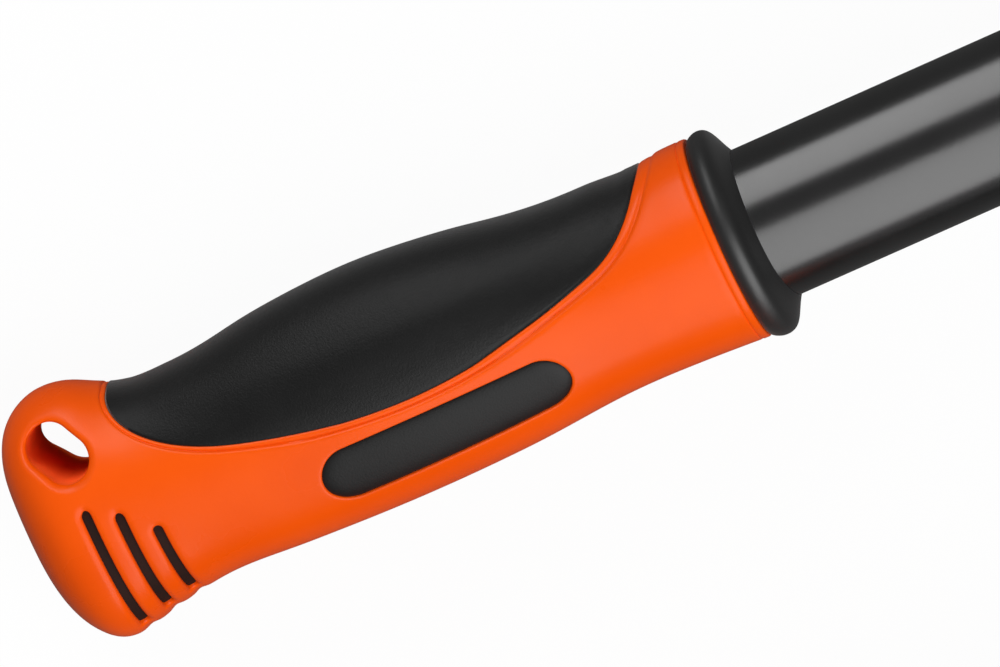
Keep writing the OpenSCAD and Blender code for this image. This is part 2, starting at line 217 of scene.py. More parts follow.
# Distance from the tube's axis to the palm crest, to the finger side and to a flank, each in
# rows of (place along the grip, distance)
palm_form = spline([
    (6.5, 20.43), (12.5, 20.4), (16.5, 20.03), (23, 19.88), (31, 19.89), (39, 20.36), (46, 21.27),
    (53, 22.48), (61, 23.59), (68, 24.3), (76, 24.68), (83, 24.55), (91, 24.05), (98, 23.3),
    (105, 22.2), (113, 21.49), (120, 21.77), (124.5, 22.68), (128, 24.15), (132, 26.15),
    (136, 27.2), (141, 27.1), (151.4, 25.75),
])
finger_form = spline([
    (6.5, 19.85), (16, 19.3), (23, 19), (31, 18.85), (38.5, 19.1), (46, 19.7), (53.5, 20.3),
    (61, 20.65), (76, 20.9), (91, 20.63), (98, 20.35), (106, 19.93), (113, 19.45), (120, 19.5),
    (127, 20.5), (132, 21.5), (137, 22.7), (151.4, 23.3),
])
side_form = spline([
    (6.5, 20.0), (23, 19.6), (38, 19.4), (53, 19.8), (76, 20.3), (97, 19.8), (115, 19.2),
    (127, 18.9), (137, 18.8), (151.4, 18.8),
])


def bent(v, power):
    """Sine or cosine of a superellipse."""
    return np.sign(v) * np.abs(v) ** (2 / power)


def eased(share):
    """Share from 0 to 1 with a soft start and a soft end."""
    return share * share * (3 - 2 * share)


def grip_point(p, q):
    """Point of the plain grip form at a place of the net, in the grip's own frame."""
    closing = np.clip((p - butt_start) / cap_len, 0, 1) * math.pi / 2
    g = np.minimum(p, butt_start) + butt_round * bent(np.sin(closing), butt_power)
    shrink = bent(np.cos(closing), butt_power)
    turn = 2 * math.pi * q / girth
    crest = np.where(np.cos(turn) >= 0, palm_form(g), finger_form(g))
    across = crest * bent(np.cos(turn), section_power)
    over = side_form(g) * bent(np.sin(turn), section_power)
    lean = butt_lean * np.tanh((across * shrink - butt_crown) / lean_span)
    lean = lean * eased(np.clip(closing / lean_turn, 0, 1))
    return np.stack([-g - lean, across * shrink, over * shrink], -1)


def net_p(g):
    """Place along the net for a distance from the collar's front face."""
    beyond = np.clip((g - butt_start) / butt_round, 0, 1)
    share = np.arcsin(beyond ** (butt_power / 2)) / (math.pi / 2)
    return np.minimum(g, butt_start) + cap_len * share


def net_q(g, y):
    """Place round the net for a distance from the tube's axis towards the palm."""
    p = net_p(g)
    palm, fingers = (np.abs(grip_point(p, 0 * p + q)[:, 1]) for q in (0, girth / 2))
    half = np.where(y >= 0, palm, fingers)
    share = np.clip(y / half, -1, 1)
    return np.arccos(np.sign(share) * np.abs(share) ** (section_power / 2)) * girth / (2 * math.pi)


def spaced(points, step, closed=False):
    """Row of points at even steps along a line of points."""
    line = np.array(points, float)
    if closed:
        line = np.concatenate([line, line[:1]])
    run = np.concatenate([[0], np.cumsum(np.linalg.norm(np.diff(line, axis=0), axis=1))])
    count = max(2, round(run[-1] / step))
    stops = np.linspace(0, run[-1], count + 1)
    row = np.stack([np.interp(stops, run, line[:, k]) for k in (0, 1)], 1)
    return row[:-1] if closed else row


def outward(row, closed=False):
    """Unit normals to the right of a row; an open row ends square to the net's seam."""
    ahead = np.roll(row, -1, 0) - np.roll(row, 1, 0) if closed else np.gradient(row, axis=0)
    normals = np.stack([ahead[:, 1], -ahead[:, 0]], 1)
    if not closed:
        normals[[0, -1], 1] = 0
    return normals / np.linalg.norm(normals, axis=1, keepdims=True)


def oval(length, width, step):
    """Oval outline about the origin, long side on the first axis, counter-clockwise."""
    turn = np.linspace(-math.pi / 2, math.pi / 2, 60)
    end = np.stack([np.cos(turn), np.sin(turn)], 1) * width / 2 + [(length - width) / 2, 0]
    return spaced(np.concatenate([end, -end]), step, closed=True)


class Net:
    """Points, ties between them and what each point carries, triangulated all at once."""

    # Distance between the rows of an even lattice, as a share of the step along a row
    row_share = 0.866

    def __init__(self):
        self.points, self.ties, self.carried = [], [], []

    def row(self, points, carried=(0, 0, 0), closed=False):
        """Adds a row of points, each tied to the next."""
        first, count = len(self.points), len(points)
        self.points.extend(np.asarray(points).tolist())
        self.carried.extend(np.broadcast_to(carried, (count, 3)).tolist())
        self.ties.extend((first + k, first + k + 1) for k in range(count - 1))
        if closed:
            self.ties.append((first + count - 1, first))

    def fill(self, low, high, step, keep):
        """Fills a rectangle with an even lattice, away from the rows."""
        tree = kdtree.KDTree(len(self.points))
        for k, (p, q) in enumerate(self.points):
            tree.insert((p, q, 0), k)
        tree.balance()
        rows = round((high[1] - low[1]) / (self.row_share * step))
        columns = round((high[0] - low[0]) / step)
        for j in range(rows + 1):
            q = low[1] + (high[1] - low[1]) * j / rows
            for i in range(columns + 1):
                p = low[0] + (high[0] - low[0]) * (i + 0.5 * (j % 2)) / columns
                if p <= high[0] and tree.find((p, q, 0))[2] > keep:
                    self.points.append([p, q])
                    self.carried.append([0, 0, 0])

    def triangles(self):
        """Places, what they carry and the triangles, all turned the same way."""
        places, _, faces, sources, _, _ = delaunay_2d_cdt(
            [Vector(p) for p in self.points], self.ties, [], 0, 1e-6, True
        )
        places = np.array(places)
        carried = np.array([self.carried[s[0]] if s else (0, 0, 0) for s in sources])
        tris = np.array(faces)
        a, b, c = (places[tris[:, k]] for k in range(3))
        ab, ac = b - a, c - a
        area = ab[:, 0] * ac[:, 1] - ab[:, 1] * ac[:, 0]
        tris[area < 0] = tris[area < 0][:, ::-1]
        return places, carried, tris[np.abs(area) > 1e-9]


def inside(points, outline):
    """Which points lie inside an outline."""
    x, y = points.T
    hit = np.zeros(len(points), bool)
    for (x0, y0), (x1, y1) in zip(outline, np.roll(outline, -1, 0)):
        if y0 != y1:
            hit ^= ((y0 > y) != (y1 > y)) & (x < (x1 - x0) * (y - y0) / (y1 - y0) + x0)
    return hit


# Each row of the net carries how far it stands out on the shell, how far on the soft part
# in the window, and how far the rim of the eye drops towards the middle.
grip_net = Net()

# Fine groove beside the collar, in rows of (place along the grip, rise)
groove_rows = (
    (shell_front, -0.4), (7.0, -0.12), (7.25, 0), (8.1, 0.02),
    (8.35, -0.06), (8.5, -0.22), (8.65, -0.08), (8.9, 0),
)
around = np.linspace(0, girth / 2, 67)
for p, rise in groove_rows:
    grip_net.row(np.stack([around * 0 + p, around], 1), (rise, 0, 0))
grip_net.row(np.stack([around * 0 + net_end, around], 1))

# Palm window: a shelf runs along its edge, widest near the collar, and fades at the butt. The
# edge is in rows of (place along the grip, degrees round it) and runs past the crest at each end.
pad_turns = np.array([
    (125.8, -27), (125.5, -13), (125.5, 0), (125.5, 13), (125.8, 27), (124.6, 43.9), (121.9, 54.5),
    (117.8, 64), (110.1, 75.2), (102.4, 82), (94.9, 86.5), (87.4, 89.5), (79.9, 91.4), (72.3, 92.3),
    (64.9, 91.9), (57.4, 90.2), (50, 86.9), (42.5, 82.5), (35.1, 76.4), (27.8, 67.6), (24.4, 60),
    (21.1, 48), (18.1, 28.6), (16.8, 14), (16.5, 0), (16.8, -14), (18.1, -28.6),
])
pad_turns[:, 1] *= girth / 360
pad_run = np.concatenate([[0], np.cumsum(np.linalg.norm(np.diff(pad_turns, axis=0), axis=1))])
pad_stops = np.linspace(pad_run[2], pad_run[-3], 800)
pad_edge = spaced(
    np.stack([spline(np.stack([pad_run, pad_turns[:, k]], 1))(pad_stops) for k in (0, 1)], 1), 0.6
)
pad_edge[[0, -1], 1] = 0
pad_out = outward(pad_edge)
pad_p = pad_edge[:, 0]
shelf_width = np.interp(pad_p, (16, 24, 40, 90, 126), (2.5, 1.95, 1.35, 0.95, 0.8))[:, None]
shelf_depth = np.interp(
    pad_p, (16, 17.5, 20, 30, 105, 121, 126), (0.3, 0.6, 0.85, 1.0, 0.85, 0.7, 0.5)
)
# Rows of (share of the shelf's width, rise at its full depth) on the shell
shelf_rows = (
    (0, -0.85), (0.1, -0.62), (0.25, -0.47), (0.5, -0.4), (0.75, -0.42), (0.9, -0.52),
    (1.02, -0.68), (1.12, -0.66), (1.25, -0.36), (1.4, -0.1), (1.6, 0), (2.1, 0),
)
# Rows of (distance inside the edge, rise where the pad is fully sunk) on the pad
pad_rows = ((0.25, -0.66), (0.5, -0.56), (1.0, -0.5), (1.8, -0.42), (2.8, -0.32))
# The very edge of the pad and of the side inlay lies this far out of the form
soft_edge = -0.5


def sunk(p):
    """Share by which the pad's edge lies below the shell, along the grip."""
    return np.interp(p, (16, 19, 30, 105, 121, 126), (0.2, 0.6, 0.9, 0.7, 0.2, 0.0))


zero = 0 * pad_p
for away, rise in shelf_rows:
    shelf = np.stack([rise * shelf_depth, zero + soft_edge, zero], 1)
    grip_net.row(pad_edge + pad_out * away * shelf_width, shelf)
for away, rise in pad_rows:
    soft = np.stack([zero, rise * sunk(pad_p), zero], 1)
    grip_net.row(pad_edge - pad_out * away, soft)

# Side window, with rows of (distance from the edge, rise) on the shell and on the inlay
inlay_len = 50.9
inlay_w = 12.0
inlay_at = [68.0, 43.1]
inlay_edge = oval(inlay_len, inlay_w, 0.55) + inlay_at
inlay_out = outward(inlay_edge, closed=True)
for away, rise in ((0, -0.3), (0.12, -0.12), (0.3, -0.02), (0.6, 0), (1.1, 0)):
    grip_net.row(inlay_edge + inlay_out * away, (rise, soft_edge, 0), closed=True)
for away, rise in ((0.25, -0.36), (0.6, -0.24), (1.2, -0.12), (2.0, -0.04)):
    grip_net.row(inlay_edge - inlay_out * away, (0, rise, 0), closed=True)

# Three slots on each flank of the butt: place along the grip, first and last degree, width
slots = ((125.5, 99.5, 160, 2.0), (131.1, 87.5, 160, 2.0), (136.7, 82, 161, 1.8))
slot_rows = ((0, -0.5), (0.12, -0.34), (0.3, -0.2), (0.55, -0.09), (0.85, -0.02), (1.2, 0))
strip_edge = -1.35
slot_edges = []
for p, top, foot, slot_w in slots:
    edge = oval((foot - top) * girth / 360, slot_w, 0.4)[:, ::-1] * [-1, 1]
    edge += [p, (top + foot) / 2 * girth / 360]
    out = outward(edge, closed=True)
    for away, rise in slot_rows:
        grip_net.row(edge + out * away, (rise, strip_edge, 0), closed=True)
    slot_edges.append(edge)

# Oval hanging eye, with its rim rolled over; it stands at (place along the grip, distance from
# the tube's axis)
eye_len = 12.8
eye_w = 9.0
eye_at = (137.4, 15.75)
eye_slant = math.radians(58)
rim_r = 1.7
for turn in np.radians((0, 12, 25, 38, 52, 66, 78, 90)):
    away = rim_r * (1 - math.cos(turn))
    ring = oval(eye_len + 2 * away, eye_w + 2 * away, 0.5)
    x = ring[:, 0] * math.cos(eye_slant) + ring[:, 1] * math.sin(eye_slant) - eye_at[0]
    y = ring[:, 1] * math.cos(eye_slant) - ring[:, 0] * math.sin(eye_slant) + eye_at[1]
    eye_row = np.stack([net_p(-x), net_q(-x, y)], 1)
    grip_net.row(eye_row, (0, 0, rim_r * (1 - math.sin(turn))), closed=True)
    if turn == 0:
        eye_edge = eye_row

grip_net.fill((shell_front, 0), (net_end, girth / 2), step=1.0, keep=0.55)
places, carried, tris = grip_net.triangles()
middles = places[tris].mean(1)
windows = {"palm_pad": [pad_edge], "side_inlays": [inlay_edge], "butt_inlays": slot_edges}
in_window = {
    name: np.any([inside(middles, edge) for edge in edges], 0) for name, edges in windows.items()
}
in_eye = inside(middles, eye_edge)
# Away from its edge a soft part settles at a rise of its own, up to which the pad swells slowly
settled = {"palm_pad": 0.3, "side_inlays": 0.0, "butt_inlays": -1.3}
pad_low = -0.3
swell_width = 9.0
for name, rise in settled.items():
    held = np.any([inside(places, edge) for edge in windows[name]], 0) & (carried[:, 1] == 0)
    carried[held, 1] = rise
    if name == "palm_pad":
        gaps = places[held][:, None] - pad_edge[None, ::2]
        depth = np.min(np.linalg.norm(gaps, axis=2), axis=1)
        swell = eased(np.clip((depth - pad_rows[-1][0]) / swell_width, 0, 1))
        low = pad_low * sunk(places[held, 0])
        carried[held, 1] = low + (rise - low) * swell

# The mirrored half shares the points of the two seams, and the butt's pole is one point
pole = np.flatnonzero(places[:, 0] > net_end - 1e-3)
same = np.arange(len(places))
same[pole] = pole[0]
tris = same[tris]
seam = (places[:, 1] < 1e-3) | (places[:, 1] > girth / 2 - 1e-3)
seam[pole] = True
twin = np.arange(len(places))
twin[~seam] = len(places) + np.arange((~seam).sum())
twin[pole] = pole[0]
p, q = places.T
tiny = 0.02
tangents = [
    grip_point(p + tiny, q) - grip_point(p - tiny, q),
    grip_point(p, q + tiny) - grip_point(p, q - tiny),
]
normals = np.cross(*tangents)
normals[pole] = (-1, 0, 0)
normals /= np.linalg.norm(normals, axis=1, keepdims=True)
form = grip_point(p, q)


def both_sides(half_points):
    """Points of the net's half and of its mirror image, which shares the seams."""
    other = half_points[~seam] * [1, 1, -1]
    return np.concatenate([half_points, other])


def both_tris(some):
    """Chosen triangles and their mirror images, less those that shrink to a line at the pole."""
    pair = np.concatenate([tris[some], twin[tris[some]][:, ::-1]])
    a, b, c = pair.T
    return pair[(a != b) & (b != c) & (a != c)]


def lifted(rise):
    """The net's points on both flanks, moved out of the plain form."""
    return both_sides(form + normals * np.reshape(rise, (-1, 1)))


def rim_edges(some):
    """Edges that only one triangle has, in its direction."""
    edges = np.concatenate([some[:, [0, 1]], some[:, [1, 2]], some[:, [2, 0]]])
    size = some.max() + 1
    there = edges[:, 0] * size + edges[:, 1]
    back = edges[:, 1] * size + edges[:, 0]
    return edges[~np.isin(there, back)]


def on_handle(points):
    """Points of the grip's own frame, on the left handle."""
    return points + [-handle_reach, half_spacing, 0]


grip_orange = finish(
    "grip_orange", ((0.89, 0.087, 0.001), (0.95, 0.102, 0.002)), rough=(0.25, 0.31),
    drift=45, grain=2200, relief=0.00002, level=0.19,
)
# The eye's wall takes a brighter, paler orange than the shell: painted light that lifts the shade
# inside the hole
eye_wall_painted_light = finish(
    "eye_wall_painted_light", ((0.92, 0.110, 0.018), (0.97, 0.124, 0.022)), rough=(0.60, 0.70),
    drift=45, grain=2200, relief=0.00002, level=0.0,
)
# Shallow waves carry the slots on across the finger side, and come in over some degrees
wave_depth = 0.5
wave_w = 1.25
wave_from = 118
wave_fade = 30
across_fingers = np.clip((q * 360 / girth - wave_from) / wave_fade, 0, 1)
waves = np.sum([np.exp(-(((p - edge[:, 0].mean()) / wave_w) ** 2)) for edge in slot_edges], 0)
shell_skin = lifted(carried[:, 0] - wave_depth * waves * across_fingers)
eye_drop = np.concatenate([carried[:, 2], carried[~seam, 2]])
shell_skin[:, 2] -= np.sign(shell_skin[:, 2]) * eye_drop
shell_tris = both_tris(~(in_eye | np.any(list(in_window.values()), 0)))
shell_points = [shell_skin]
shell_faces = shell_tris.tolist()

# Floors and walls of the windows
floors = {"palm_pad": -3.2, "side_inlays": -2.2, "butt_inlays": -2.2}
rims = rim_edges(shell_tris)
made_points = len(shell_skin)
rim_left = np.ones(len(rims), bool)
for name, depth in floors.items():
    floor_tris = both_tris(in_window[name])
    used = np.unique(floor_tris)
    lower = np.full(len(shell_skin), -1)
    lower[used] = made_points + np.arange(len(used))
    made_points += len(used)
    shell_points.append(lifted(np.full(len(places), depth))[used])
    shell_faces += lower[floor_tris].tolist()
    walls = rim_left & np.all(lower[rims] >= 0, axis=1)
    rim_left &= ~walls
    a, b = rims[walls].T
    shell_faces += np.stack([b, a, lower[a], lower[b]], 1).tolist()

# Wall of the hanging eye, from flank to flank
front = rim_left & np.all(np.abs(shell_skin[rims][:, :, 0] + shell_front) < 0.3, axis=1)
near_eye = rim_left & ~front & np.all(rims < len(places), axis=1)
a, b = rims[near_eye].T
eye_wall = range(len(shell_faces), len(shell_faces) + len(a))
shell_faces += np.stack([b, a, twin[a], twin[b]], 1).tolist()

# Front face and the socket for the tube
socket_r = tube_r + 0.08
socket_end = socket_depth + 0.2
ring = np.unique(rims[front])
turn = np.arctan2(shell_skin[ring, 2], shell_skin[ring, 1])
mouth = np.full(len(shell_skin), -1)
mouth[ring] = made_points + np.arange(len(ring))
for x in (-shell_front, -socket_end):
    shell_points.append(
        np.stack([0 * turn + x, socket_r * np.cos(turn), socket_r * np.sin(turn)], 1)
    )
shell_points.append(np.array([[-socket_end, 0, 0]]))
bottom = made_points + 2 * len(ring)
a, b = rims[front].T
mouth_a, mouth_b = mouth[a], mouth[b]
end_a, end_b = mouth_a + len(ring), mouth_b + len(ring)
shell_faces += np.stack([b, a, mouth_a, mouth_b], 1).tolist()
shell_faces += np.stack([mouth_b, mouth_a, end_a, end_b], 1).tolist()
shell_faces += np.stack([end_b, end_a, 0 * a + bottom], 1).tolist()
shell_points = np.concatenate(shell_points)
needed = np.unique(np.concatenate([np.ravel(face) for face in shell_faces]))
renumber = np.full(len(shell_points), -1)
renumber[needed] = np.arange(len(needed))
shell_faces = [renumber[face].tolist() for face in shell_faces]
shell_points = on_handle(shell_points[needed])
for half in ("left", "right"):
    made = piece(half, "grip_shell", shell_points, shell_faces, grip_orange, 50)
    # The eye's wall gets the brighter orange, painted light in the hole's shade
    made.data.materials.append(eye_wall_painted_light)
    for k in eye_wall:
        made.data.polygons[k].material_index = 1

# Palm pads, side inlays and butt inlays.
# Black soft elastomer, the second shot, moulded into the shell's windows. It swells a little
# towards the middle of the palm and lies just below the shell in the flank and in the slots.

soft_black = finish(
    "soft_black", ((0.003, 0.003, 0.003), (0.004, 0.004, 0.004)), rough=(0.40, 0.48),
    drift=120, grain=2600, relief=0.00006, level=0.31, sheen=(1.0, 0.31),
)
# The flank's inlay comes off a smoother part of the mould
flank_black = finish(
    "flank_black", ((0.006, 0.006, 0.006), (0.009, 0.009, 0.009)), rough=(0.44, 0.52),
    drift=120, grain=2600, relief=0.00003, level=0.28,
)
# The slots' black carries a dark red tint: painted reflection of the orange shell's light bouncing
# in the narrow recesses
slot_black_painted_bounce = finish(
    "slot_black_painted_bounce", ((0.018, 0.009, 0.007), (0.026, 0.011, 0.008)), rough=(0.58, 0.68),
    drift=120, grain=2600, relief=0.00004, level=0.1,
)
skins = {"palm_pad": soft_black, "side_inlays": flank_black, "butt_inlays": slot_black_painted_bounce}
moulding_gap = 0.08


def closed_sheet(corners):
    """Faces of a sheet, of its second skin, whose points follow the first's, and of its rim."""
    count = corners.max() + 1
    a, b = rim_edges(corners).T
    return (
        corners.tolist()
        + (corners[:, ::-1] + count).tolist()
        + np.stack([b, a, a + count, b + count], 1).tolist()
    )


for name, depth in floors.items():
    used, corners = np.unique(both_tris(in_window[name]), return_inverse=True)
    soft_faces = closed_sheet(corners.reshape(-1, 3))
    soft_points = np.concatenate([
        lifted(carried[:, 1])[used],
        lifted(np.full(len(places), depth + moulding_gap))[used],
    ])
    for half in ("left", "right"):
        piece(half, name, on_handle(soft_points), soft_faces, skins[name], 60)

# Grip collars.
# A black elastomer ring, slipped over the tube, closes the gap between tube and shell. Its
# rounded bead runs down to a thin lip on the tube.

collar_black = finish(
    "collar_black", ((0.004, 0.004, 0.004), (0.006, 0.006, 0.006)), rough=(0.44, 0.52),
    drift=120, grain=1800, relief=0.00002, level=0.95, sheen=(0.12, 0.36),
)
collar_bore = 15.06
collar_front = -0.2
collar_back = 6.8
collar_rows = np.array([
    (collar_front, 15.1), (0.2, 15.8), (0.75, 16.9), (1.35, 18.2), (2.0, 19.45), (2.7, 20.3),
    (3.45, 20.72), (4.2, 20.85), (4.95, 20.78), (5.7, 20.5), (6.4, 20.05), (collar_back, 19.5),
])
stops = np.linspace(0, len(collar_rows) - 1, 120)
collar_form = spaced(np.stack([
    spline(list(enumerate(collar_rows[:, k])))(stops) for k in (0, 1)
], 1), 0.3)
collar_points, collar_faces = lathe([
    (collar_front, collar_bore), *collar_form.tolist(), (collar_back, collar_bore),
])
# The bead is fuller under the fingers, where it reaches further down the tube, than on the flanks
bead_full = 1.1
bead_slim = 0.4
share = collar_points[:, 1] / np.hypot(collar_points[:, 1], collar_points[:, 2])
fuller = bead_full * np.clip(-share, 0, 1) ** 4 - bead_slim * (1 - share ** 2)
collar_points[:, 0] += fuller * (1 + collar_points[:, 0] / collar_back)
for half in ("left", "right"):
    piece(half, "grip_collar", on_handle(collar_points), collar_faces, collar_black, 50)

# Hinge brackets.
# Each is pressed from 3 mm steel plate: a web rolled to the blade's curve and two cheeks bent
# down beside the handle tube. The right cheeks are joggled outward to pass over the left ones.

plate = 3.0
bend_y = -11.7
web_r = 93.5
web_half = 13.87
bend_r = 3.5
web_turn = web_half / web_r
bend_len = bend_r * (math.pi / 2 - web_turn)
bend_mid = (web_r - bend_r) * np.array([math.cos(web_turn), math.sin(web_turn)]) + [bend_y, 0]
joggle_rise = 3.3
joggle_top = 30.6
joggle_len = 10.0


def rounded(corners):
    """Outline through corners of (x, y, radius), each rounded by an arc."""
    corners = np.array(corners, float)
    line = []
    befores, afters = np.roll(corners, 1, 0), np.roll(corners, -1, 0)
    for before, (x, y, radius), after in zip(befores, corners, afters):
        here = np.array([x, y])
        arms = [(end[:2] - here) / np.linalg.norm(end[:2] - here) for end in (before, after)]
        half_angle = math.acos(arms[0] @ arms[1]) / 2
        middle = sum(arms) / np.linalg.norm(sum(arms))
        centre = here + middle * radius / math.sin(half_angle)
        swing = math.pi / 2 - half_angle
        side = np.array([-middle[1], middle[0]])
        side *= np.sign(arms[0] @ side)
        for turn in np.linspace(swing, -swing, 16):
            line.append(centre + radius * (side * math.sin(turn) - middle * math.cos(turn)))
    return np.array(line)


def pressed(outline, step, rows, surface, outer, inner, bands=()):
    """Closed sheet: a flat blank cut to an outline, laid on a curved surface and given two faces.

    Rows are distances inside the outline, and a band is a rectangle with a finer step. Outer and
    inner give each face's distance from the surface. Depth and x of the points come back too.
    """
    edge = spaced(outline, 1.2, closed=True)
    net = Net()
    for away in rows:
        net.row(edge - outward(edge, closed=True) * away, closed=True)
    for low, high, fine in bands:
        net.fill(low, high, fine, keep=0.5 * fine)
    net.fill(edge.min(0), edge.max(0), step, keep=0.6 * step)
    places, _, tris = net.triangles()
    tris = tris[inside(places[tris].mean(1), edge)]
    used, corners = np.unique(tris, return_inverse=True)
    x, v = places[used].T
    depth = np.min(np.linalg.norm(places[used][:, None] - edge[None], axis=2), axis=1)
    tangents = [
        surface(x, v + tiny) - surface(x, v - tiny),
        surface(x + tiny, v) - surface(x - tiny, v),
    ]
    normals = np.cross(*tangents)
    normals /= np.linalg.norm(normals, axis=1, keepdims=True)
    points = np.concatenate([
        surface(x, v) + normals * outer(depth, x)[:, None],
        surface(x, v) - normals * inner(depth, x)[:, None],
    ])
    return points, closed_sheet(corners.reshape(-1, 3)[:, ::-1]), depth, x


def rounding(depth, width, drop):
    """How far a rounded edge lies below its face, at a depth inside the outline."""
    near = np.clip(1 - depth / width, 0, 1)
    return drop * (1 - np.sqrt(1 - near ** 2))


def half_plate(depth, x):
    """Half the plate's thickness, with the sheared edge rounded."""
    return plate / 2 - rounding(depth, 0.8, 0.8)


def bracket_surface(joggle):
    """Middle of the plate, by x and by the distance from the web's middle on the flat blank."""
    def surface(x, v):
        along = np.abs(v)
        turn = np.minimum(along, web_half) / web_r
        fold = web_turn + np.clip(along - web_half, 0, bend_len) / bend_r
        down = np.clip(along - web_half - bend_len, 0, None)
        in_web = along <= web_half
        web_y, web_z = bend_y + web_r * np.cos(turn), web_r * np.sin(turn)
        fold_y, fold_z = bend_mid[0] + bend_r * np.cos(fold), bend_mid[1] + bend_r * np.sin(fold)
        y = np.where(in_web, web_y, fold_y) - down
        z = np.where(in_web, web_z, fold_z)
        z = z + joggle * eased(np.clip((joggle_top - y) / joggle_len, 0, 1))
        return np.stack([x, y, np.sign(v) * z], 1)

    return surface


bracket_enamel = finish(
    "bracket_enamel", ((0.012, 0.012, 0.013), (0.020, 0.020, 0.021)), rough=(0.30, 0.42),
    drift=70, grain=900, relief=0.00004, coat=0.3,
)
# A cheek's corners as (x, y, radius): by the blade, at the lug and at the handle end
blade_end = 58.0
handle_end = -96.0
cheek_corners = ((blade_end, 74.6, 7), (5.88, -25.52, 17), (handle_end, 49.99, 7))
flat_y = bend_mid[0] + web_half + bend_len
cheek = [(x, flat_y - y, radius) for x, y, radius in cheek_corners]
other_cheek = [(x, -v, radius) for x, v, radius in cheek]
bracket_line = rounded([other_cheek[0], *cheek, *other_cheek[:0:-1]])
bend_at = 16.4
band_half = 3.0
bend_bands = [
    ((handle_end, side * bend_at - band_half), (blade_end, side * bend_at + band_half), 0.9)
    for side in (-1, 1)
]
for half, joggle in (("left", 0.0), ("right", joggle_rise)):
    points, faces, _, _ = pressed(
        bracket_line, 3.0, (0, 0.15, 0.4, 0.8), bracket_surface(joggle), half_plate, half_plate,
        bend_bands,
    )
    piece(half, "hinge_bracket", points, faces, bracket_enamel)

# Blades.
# Pressed from 2.5 mm spring steel as scoops of one cylinder, with a tang, a stiffening rib and
# a rounded tip. Enamelled, then ground bright along the cutting edges.

blade_r = 96.25
blade_t = 2.5
tang_start = 7.0
tang_half = 18.3
shoulder_x = 64.0
blade_half = 70.0
taper_x = 225.2
# Where the two sides of the tip would meet without its rounding
tip_x = 317.6
rib_start = 99.0
rib_end = 189.0
rib_rise = 3.5
rib_half = 11.0
# The grinding comes in below the shoulders and thins the edge by this much
ground_start = 92.0
ground_fade = 36.0
ground_w = 7.0
ground_drop = 1.9


def blade_surface(x, z):
    """Middle of the sheet, by x and z: a cylinder with the rib pressed outward."""
    turn = np.arcsin(z / blade_r)
    away = np.hypot(x - np.clip(x, rib_start, rib_end), z)
    radius = blade_r + rib_rise * 0.5 * (1 + np.cos(math.pi * np.clip(away / rib_half, 0, 1)))
    return np.stack([x, bend_y + radius * np.cos(turn), radius * np.sin(turn)], 1)


def cutting(x):
    """Share of the grinding along the blade: none at the shoulders, all of it further down."""
    return eased(np.clip((x - ground_start) / ground_fade, 0, 1))


def ground_width(x):
    """Width of the ground edge along the blade, never quite zero."""
    return 0.01 + ground_w * cutting(x)


def blade_outer(depth, x):
    """Outer face's distance from the sheet's middle: rounded at the edge, or ground."""
    bevel = ground_drop * cutting(x) * np.clip(1 - depth / ground_width(x), 0, 1)
    return blade_t / 2 - np.maximum(rounding(depth, 0.8, 0.7) * (1 - cutting(x)), bevel)


def blade_inner(depth, x):
    """Inner face's distance from the sheet's middle, with its edge broken."""
    return blade_t / 2 - rounding(depth, 0.5, 0.3)


blade_enamel = finish(
    "blade_enamel", ((0.012, 0.012, 0.013), (0.022, 0.022, 0.023)), rough=(0.32, 0.46),
    drift=50, grain=700, relief=0.00005, coat=0.25,
)
# Where the ground attribute is high the enamel gives way to bare steel, along an uneven line
nodes = blade_enamel.node_tree.nodes
link = blade_enamel.node_tree.links.new
shader = nodes["Principled BSDF"]
ground = nodes.new("ShaderNodeAttribute")
ground.attribute_name = "ground"
wear = nodes.new("ShaderNodeTexNoise")
wear.inputs["Scale"].default_value = 160
wear.inputs["Detail"].default_value = 4
edge_of = nodes.new("ShaderNodeMath")
edge_of.operation = "MULTIPLY_ADD"
edge_of.inputs[1].default_value = 0.5
bare = nodes.new("ShaderNodeMapRange")
bare.inputs["From Min"].default_value = 0.72
bare.inputs["From Max"].default_value = 0.82
steel = nodes.new("ShaderNodeValToRGB")
steel.color_ramp.elements[0].color = (0.18, 0.18, 0.19, 1)
steel.color_ramp.elements[1].color = (0.32, 0.32, 0.33, 1)
colour = nodes.new("ShaderNodeMix")
colour.data_type = "RGBA"
link(nodes["Texture Coordinate"].outputs["Object"], wear.inputs["Vector"])
link(wear.outputs["Fac"], edge_of.inputs[0])
link(ground.outputs["Fac"], edge_of.inputs[2])
link(edge_of.outputs["Value"], bare.inputs["Value"])
link(wear.outputs["Fac"], steel.inputs["Fac"])
link(bare.outputs["Result"], colour.inputs["Factor"])
link(nodes["Color Ramp"].outputs["Color"], colour.inputs["A"])
link(steel.outputs["Color"], colour.inputs["B"])
link(colour.outputs["Result"], shader.inputs["Base Color"])
link(bare.outputs["Result"], shader.inputs["Metallic"])

blade_side = [
    (tang_start, tang_half, 5), (shoulder_x, tang_half, 14), (shoulder_x, blade_half, 20),
    (taper_x, blade_half, 60),
]
blade_line = rounded(
    [(x, -z, radius) for x, z, radius in blade_side] + [(tip_x, 0, 42)] + blade_side[::-1]
)
points, faces, depth, x = pressed(
    blade_line, 2.6, (0, 0.15, 0.4, 0.8, 2.4, 4.2, 6.0, 7.0, 7.8), blade_surface, blade_outer,
    blade_inner,
)
ground_blur = 1.2
ground_share = np.clip((ground_width(x) + 0.1 - depth) / ground_blur + 0.5, 0, 1)
ground_share *= cutting(x) > 0.02
for half in ("left", "right"):
    made = piece(half, "blade", points, faces, blade_enamel, 30)
    share = made.data.attributes.new("ground", "FLOAT", "POINT")
    share.data.foreach_set("value", np.concatenate([ground_share, ground_share * (depth < 0.3)]))

# Bolts, nuts, rivets, washers and sleeve.
# Zinc-plated steel: hexagon bolts with locking nuts through cheeks and tube, domed rivets
# through tang and web, and the pivot bolt with its washers and spacer sleeve.

